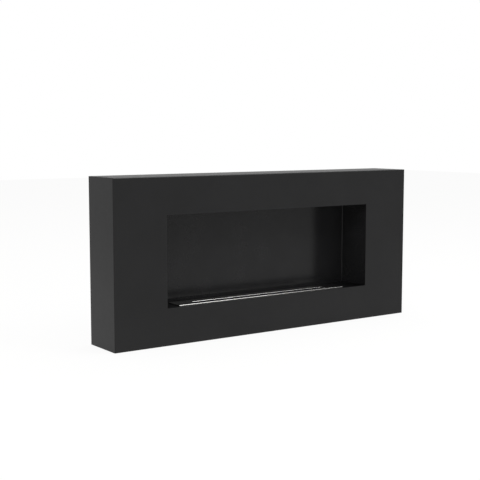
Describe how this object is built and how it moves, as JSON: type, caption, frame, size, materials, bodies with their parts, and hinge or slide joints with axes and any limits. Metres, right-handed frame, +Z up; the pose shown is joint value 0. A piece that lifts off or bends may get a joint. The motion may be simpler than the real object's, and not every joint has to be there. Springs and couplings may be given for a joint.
{
  "type": "wall fireplace with slot burner",
  "caption": "Flueless wall fireplace: a shallow black sheet steel box with a wide opening and a long stainless slot burner that lifts out and has a sliding damper.",
  "frame": {"origin": "middle of the footprint, on the underside of the casing", "axes": "+X to the right seen from the front, +Y towards the wall, +Z up; the opening faces -Y"},
  "size_m": [0.9, 0.12, 0.4],
  "materials": {
    "casing_coat": "satin black powder coat",
    "frame_coat": "satin black powder coat",
    "rear_coat": "matt black powder coat",
    "firebox_coat": "heat resistant satin black coat",
    "back_panel_coat": "heat resistant semi-gloss black coat",
    "zinc_plate": "bright zinc plate",
    "galvanised": "galvanised sheet",
    "trim_stainless": "brushed along its length",
    "tank_stainless": "mill finish stainless",
    "ceramic_wool": "white fibre felt"
  },
  "bodies": {
    "casing": {"front_casing": "casing_coat", "front_plate_studs": "zinc_plate", "rear_frame_rails": "frame_coat", "rear_frame_stiles": "frame_coat", "rear_cover": "rear_coat", "rear_rivet_nuts": "zinc_plate", "rear_cover_screws": "zinc_plate", "keyhole_plates": "rear_coat", "keyhole_plate_rivets": "zinc_plate", "firebox_floor": "firebox_coat", "firebox_ceiling": "firebox_coat", "firebox_left_wall": "firebox_coat", "firebox_right_wall": "firebox_coat", "firebox_back_tray": "back_panel_coat", "firebox_nuts": "zinc_plate", "firebox_rivets": "zinc_plate", "floor_brackets": "galvanised", "burner_well": "galvanised", "ceiling_heat_shield": "galvanised", "heat_shield_studs": "zinc_plate", "heat_shield_spacers": "zinc_plate", "heat_shield_nuts": "zinc_plate"},
    "burner": {"burner_top_trim": "trim_stainless", "burner_tank": "tank_stainless", "ceramic_wool": "ceramic_wool", "burner_grid": "tank_stainless", "shutter_front_rail": "tank_stainless", "shutter_rear_rail": "tank_stainless"},
    "damper": {"damper_shutter": "tank_stainless"}
  },
  "joints": [
    {"name": "burner_lift", "type": "slide", "parent": "casing", "child": "burner", "axis": [0, 0, 1], "range_m": [0, 0.075]},
    {"name": "damper_slide", "type": "slide", "parent": "burner", "child": "damper", "axis": [1, 0, 0], "range_m": [0, 0.021]}
  ]
}
